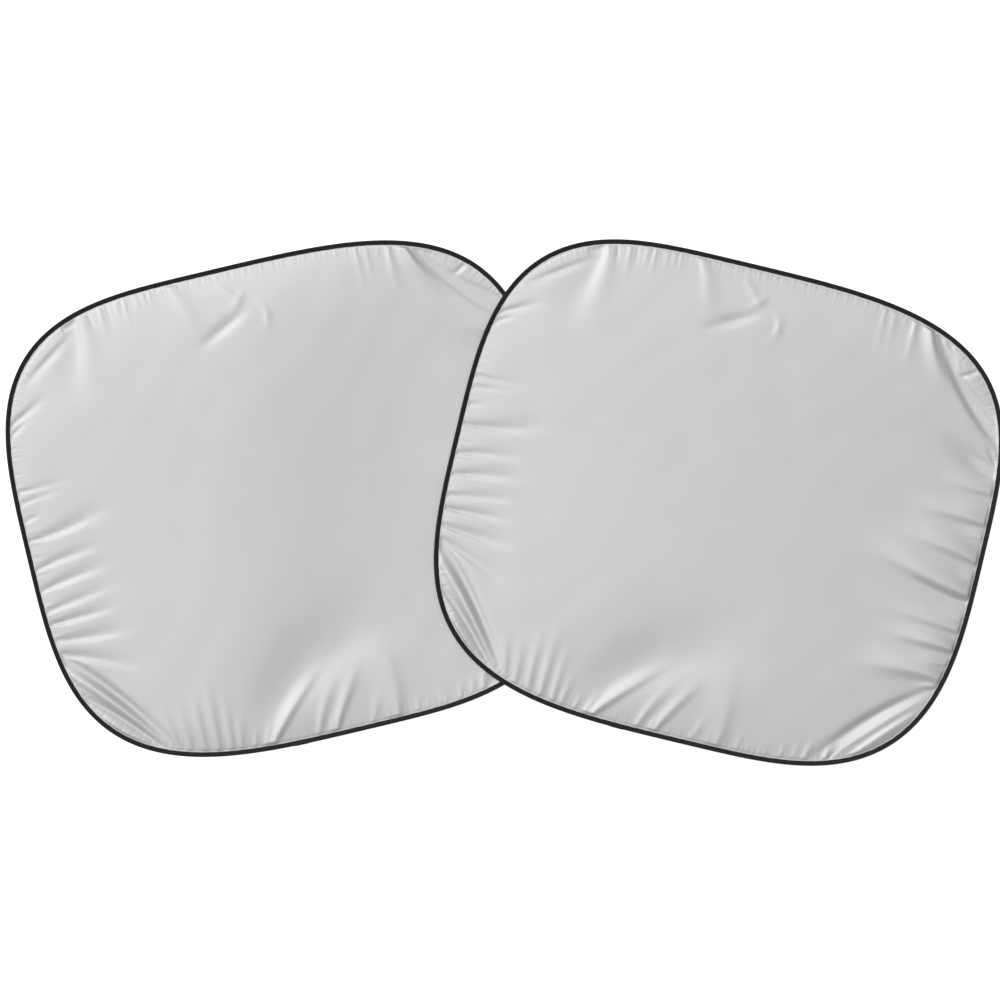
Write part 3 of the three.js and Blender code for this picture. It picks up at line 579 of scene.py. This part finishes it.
def fold_rise(fold, place):
    """How far one fold lifts or lowers the cloth at each place."""
    spine, half_width, lean, height = fold
    reach = 3 * half_width.max() * (1 + abs(lean))
    near = np.all((place > spine.min(axis=0) - reach) & (place < spine.max(axis=0) + reach), axis=1)
    at = place[near]
    nearest = np.full(len(at), np.inf)
    rise = np.zeros(len(at))
    for k in range(len(spine) - 1):
        leg = spine[k + 1] - spine[k]
        share = np.clip((at - spine[k]) @ leg / (leg @ leg), 0, 1)
        away = at - spine[k] - share[:, None] * leg
        distance = np.linalg.norm(away, axis=1)
        on_left = np.where(leg[0] * away[:, 1] > leg[1] * away[:, 0], 1, -1)
        width = (half_width[k] + (half_width[k + 1] - half_width[k]) * share) * (1 + lean * on_left)
        tall = height[k] + (height[k + 1] - height[k]) * share
        closer = distance < nearest
        rise = np.where(closer, tall * np.exp(-((distance / width) ** 2)), rise)
        nearest = np.minimum(nearest, distance)
    whole = np.zeros(len(place))
    whole[near] = rise
    return whole


def band_share(place):
    """0 in the middle of the panel and 1 on its rim, and the share of the way across alone."""
    shares, across_shares = [], []
    for across, up, cx, cy, power in HOOP_CORNERS:
        dx = np.maximum(0, across * (place[:, 0] - cx) / (BAND_HALF_WIDTH - across * cx))
        dy = np.maximum(0, up * (place[:, 1] - cy) / (BAND_HALF_HEIGHT - up * cy))
        shares.append((dx**power + dy**power) ** (1 / power))
        across_shares.append(dx)
    return np.max(shares, axis=0), np.max(across_shares, axis=0)


def cloth_swell(place, depth):
    """How high the cloth stands over its edge without its folds: a low dome and a puffed rim."""
    share, across = band_share(place)
    dome = DOME_RISE * (1 - across**2) * (1 - np.minimum(share, 1) ** DOME_SHOULDER)
    return dome + EDGE_PUFF_RISE * (1 - np.exp(-np.maximum(depth, 0) / EDGE_PUFF_REACH))


# The cloth's points lie on rings. The outer rings keep the rim's form, and the inner ones shrink to the
# middle. A ring is its distance from the wire's line, or its step from the last one, and how many of the
# hoop's points it skips to the next.
RING_POINTS = 1536
FREE_INWARD = LIP_END + CLOTH_FLAT_BEYOND_LIPS
RIM_RINGS = [(LIP_END - CLOTH_GRIP, 1), (LIP_END, 1)]
RIM_RINGS += [(FREE_INWARD + 0.0015 * k, 1) for k in range(7)]
RIM_RINGS += [(FREE_INWARD + 0.009 + 0.0024 * k, 1) for k in range(1, 6)]
RIM_RINGS += [(FREE_INWARD + 0.021 + 0.003 * k, 2) for k in range(1, 13)]
INNER_RINGS = [(0.0038, 2)] * 8 + [(0.005, 4)] * 10 + [(0.008, 8)] * 10 + [(0.014, 16)] * 9


def cloth_plan():
    """The cloth's rings as places in the panel, how far each place is from the free edge, and the faces."""
    rings, depths = [], []
    for inward, every in RIM_RINGS:
        ring, _ = hoop_line(RING_POINTS, inward)
        rings.append(ring[::every])
        depths.append(np.full(len(rings[-1]), inward - FREE_INWARD))
    last = ring
    reach = np.linalg.norm(last, axis=1).mean()
    gone = 0.0
    for step, every in INNER_RINGS:
        gone += step
        ring = last[::every] * (1 - gone / reach)
        rings.append(ring)
        depths.append(np.full(len(ring), RIM_RINGS[-1][0] - FREE_INWARD + gone))
    rings.append(np.zeros((1, 2)))
    depths.append(np.array([RIM_RINGS[-1][0] - FREE_INWARD + reach]))
    first = np.concatenate([[0], np.cumsum([len(r) for r in rings])])
    faces = []
    for k in range(len(rings) - 1):
        outer, inner = len(rings[k]), len(rings[k + 1])
        a, b = first[k], first[k + 1]
        if inner == 1:
            faces += [(a + i, a + (i + 1) % outer, b) for i in range(outer)]
        elif inner == outer:
            faces += [(a + i, a + (i + 1) % outer, b + (i + 1) % outer, b + i) for i in range(outer)]
        else:
            for i in range(inner):
                j = (i + 1) % inner
                here, halfway, there = a + 2 * i, a + 2 * i + 1, a + (2 * i + 2) % outer
                faces += [(here, halfway, b + i), (halfway, b + j, b + i), (halfway, there, b + j)]
    return np.concatenate(rings), np.concatenate(depths), [tuple(int(i) for i in f) for f in faces]


cloth_place, cloth_depth, cloth_faces = cloth_plan()
folds = [lay_fold(row, False) for row in RIM_FOLDS] + [lay_fold(row, True) for row in CROSS_FOLDS]
swell = cloth_swell(cloth_place, cloth_depth)
rise = np.sum([fold_rise(fold, cloth_place) for fold in folds], axis=0)

# Small puckers along the seam, a stitch or three apart, and a slack ripple in the open cloth. A row of
# puckers is its share of the height, its wavelength, and how far, over what length and from where it drifts.
PUCKER_HEIGHT = 0.00014
PUCKER_REACH = 0.007
PUCKER_EASE = 0.002
PUCKER_WAVES = [(0.7, 0.0062, 1.7, 0.113, 0), (1.0, 0.0083, 2.1, 0.31, 0), (1.2, 0.0151, 1.9, 0.173, 0.7)]
RIPPLE_HEIGHT = 0.00015
RIPPLE_EASE = 0.03
along = np.arange(RING_POINTS) / RING_POINTS * hoop_length
around = np.concatenate([along[::every] for _, every in RIM_RINGS]) * 2 * math.pi
pucker = np.zeros(len(around))
for amount, wavelength, drift, drift_length, drift_start in PUCKER_WAVES:
    pucker += amount * np.sin(around / wavelength + drift * np.sin(around / drift_length + drift_start))
by_rim = len(around)
rim_depth = np.maximum(cloth_depth[:by_rim], 0)
rise[:by_rim] += PUCKER_HEIGHT * pucker * np.exp(-rim_depth / PUCKER_REACH) * smooth(rim_depth / PUCKER_EASE)
x, y = cloth_place[:, 0], cloth_place[:, 1]
ripple = np.sin(x / 0.017 + 1.7 * np.sin(y / 0.061)) * np.sin(y / 0.023 + 1.3 * np.sin(x / 0.049))
rise += RIPPLE_HEIGHT * ripple * smooth(cloth_depth / RIPPLE_EASE)
eased = smooth(cloth_depth / EDGE_EASE)

# The left cloth is pressed down where the right panel lies on it: how far each place is beyond that.
here = turned(cloth_place, PANEL_TURN) - CENTRE_OFFSET
share_in_right, _ = band_share(turned(here - CENTRE_OFFSET, PANEL_TURN))
beyond = np.where(share_in_right < 1, 0, np.inf)
for part in np.array_split(np.nonzero(share_in_right >= 1)[0], 20):
    gaps = np.linalg.norm(here[part][:, None] - right_hoop[None, ::4], axis=2)
    beyond[part] = gaps.min(axis=1)
beyond_right_panel = {"left": beyond - PRESS_MARGIN, "right": np.full(len(beyond), np.inf)}

# Each cloth is cut to the panel's outer edge.
for side, (lay, turn) in PANELS.items():
    beyond = beyond_right_panel[side]
    free = PRESSED_SHARE + (1 - PRESSED_SHARE) * smooth(beyond / SWELL_PRESS_REACH)
    height = (swell * free + rise) * eased
    crest_limit = PRESSED_CREST + (HIGHEST_CREST - PRESSED_CREST) * smooth(beyond / CREST_PRESS_REACH)
    limit = np.where(height > 0, crest_limit, LOWEST_VALLEY)
    height = limit * np.tanh(height / limit)
    upper = lay(np.column_stack([cloth_place, height + CLOTH_THICKNESS / 2]))
    lower = lay(np.column_stack([cloth_place, height - CLOTH_THICKNESS / 2]))
    count = len(upper)
    faces = cloth_faces + [tuple(count + i for i in reversed(face)) for face in cloth_faces]
    for i in range(RING_POINTS):
        j = (i + 1) % RING_POINTS
        faces.append((i, count + i, count + j, j))
    silver, tree, shader = new_finish(side + "_silver_coated_cloth", roughness=0.62, metallic=0.9)
    tint(tree, shader, (0.598, 0.593, 0.607), patch_size=0.05, strength=0.04)
    weave(tree, shader, pitch=0.00042, turn=turn, strength=0.25, depth=0.00003)
    cloth = new_piece(side + "_silver_cloth", np.vstack([upper, lower]), faces, silver)
    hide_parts(side + "_fabric")
    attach(cloth, "root")


# The floor.
# A plain white sweep under the pair, which stays white to the eye and keeps a soft shadow.
FLOOR_HALF = 30.0
FLOOR_BELOW = 0.0001
floor_corners = [(x * FLOOR_HALF, y * FLOOR_HALF, 0) for x, y in ((-1, -1), (1, -1), (1, 1), (-1, 1))]
floor_mesh = bpy.data.meshes.new("floor")
floor_mesh.from_pydata(floor_corners, [], [(0, 1, 2, 3)])
white_floor = bpy.data.materials.new("white_floor")
white_floor.use_nodes = True
tree = white_floor.node_tree
tree.nodes.remove(tree.nodes["Principled BSDF"])
paper = tree.nodes.new("ShaderNodeBsdfDiffuse")
paper.inputs["Color"].default_value = (0.82, 0.82, 0.82, 1)
glow = tree.nodes.new("ShaderNodeEmission")
glow.inputs["Strength"].default_value = 0.6
dark = tree.nodes.new("ShaderNodeEmission")
dark.inputs["Strength"].default_value = 0.0
light_path = tree.nodes.new("ShaderNodeLightPath")
mirrored = tree.nodes.new("ShaderNodeMath")
mirrored.operation = "MAXIMUM"
seen = tree.nodes.new("ShaderNodeMath")
seen.operation = "MULTIPLY_ADD"
seen.inputs[1].default_value = 0.3
choose = tree.nodes.new("ShaderNodeMixShader")
both = tree.nodes.new("ShaderNodeAddShader")
tree.links.new(light_path.outputs["Is Glossy Ray"], mirrored.inputs[0])
tree.links.new(light_path.outputs["Is Transmission Ray"], mirrored.inputs[1])
tree.links.new(mirrored.outputs[0], seen.inputs[0])
tree.links.new(light_path.outputs["Is Camera Ray"], seen.inputs[2])
tree.links.new(seen.outputs[0], choose.inputs["Fac"])
tree.links.new(dark.outputs[0], choose.inputs[1])
tree.links.new(glow.outputs[0], choose.inputs[2])
tree.links.new(paper.outputs[0], both.inputs[0])
tree.links.new(choose.outputs[0], both.inputs[1])
tree.links.new(both.outputs[0], tree.nodes["Material Output"].inputs["Surface"])
floor_mesh.materials.append(white_floor)
floor = bpy.data.objects.new("floor", floor_mesh)
floor.location.z = -FLOOR_BELOW
bpy.context.scene.collection.objects.link(floor)


# The light.
# One broad light from high on the upper left, which shades the folds, and an even light from all round.
key_light = bpy.data.lights.new("key_light", "SUN")
key_light.energy = 1.9
key_light.angle = math.radians(30)
key = bpy.data.objects.new("key_light", key_light)
key_height = math.radians(60)
key_from = math.radians(143)
key.rotation_euler = (0, math.pi / 2 - key_height, key_from)
bpy.context.scene.collection.objects.link(key)
world = bpy.data.worlds.new("studio")
world.use_nodes = True
world.node_tree.nodes["Background"].inputs["Color"].default_value = (1, 1, 1, 1)
world.node_tree.nodes["Background"].inputs["Strength"].default_value = 0.45
bpy.context.scene.world = world


# The camera.
# It looks straight down from over the pair, a little left of its middle, as the photograph does.
SENSOR_MM = 36.0
VIEW_WIDTH = 1.4725
CAMERA_HEIGHT = 20.0
AIM = np.array([-0.0072, 0.0020])
camera_data = bpy.data.cameras.new("camera")
camera_data.lens = SENSOR_MM * CAMERA_HEIGHT / VIEW_WIDTH
camera_data.sensor_width = SENSOR_MM
camera_data.clip_end = 100
camera = bpy.data.objects.new("camera", camera_data)
camera.location = (*(pair_shift + AIM), CAMERA_HEIGHT)
bpy.context.scene.collection.objects.link(camera)
bpy.context.scene.camera = camera
bpy.context.scene.view_settings.view_transform = "Standard"
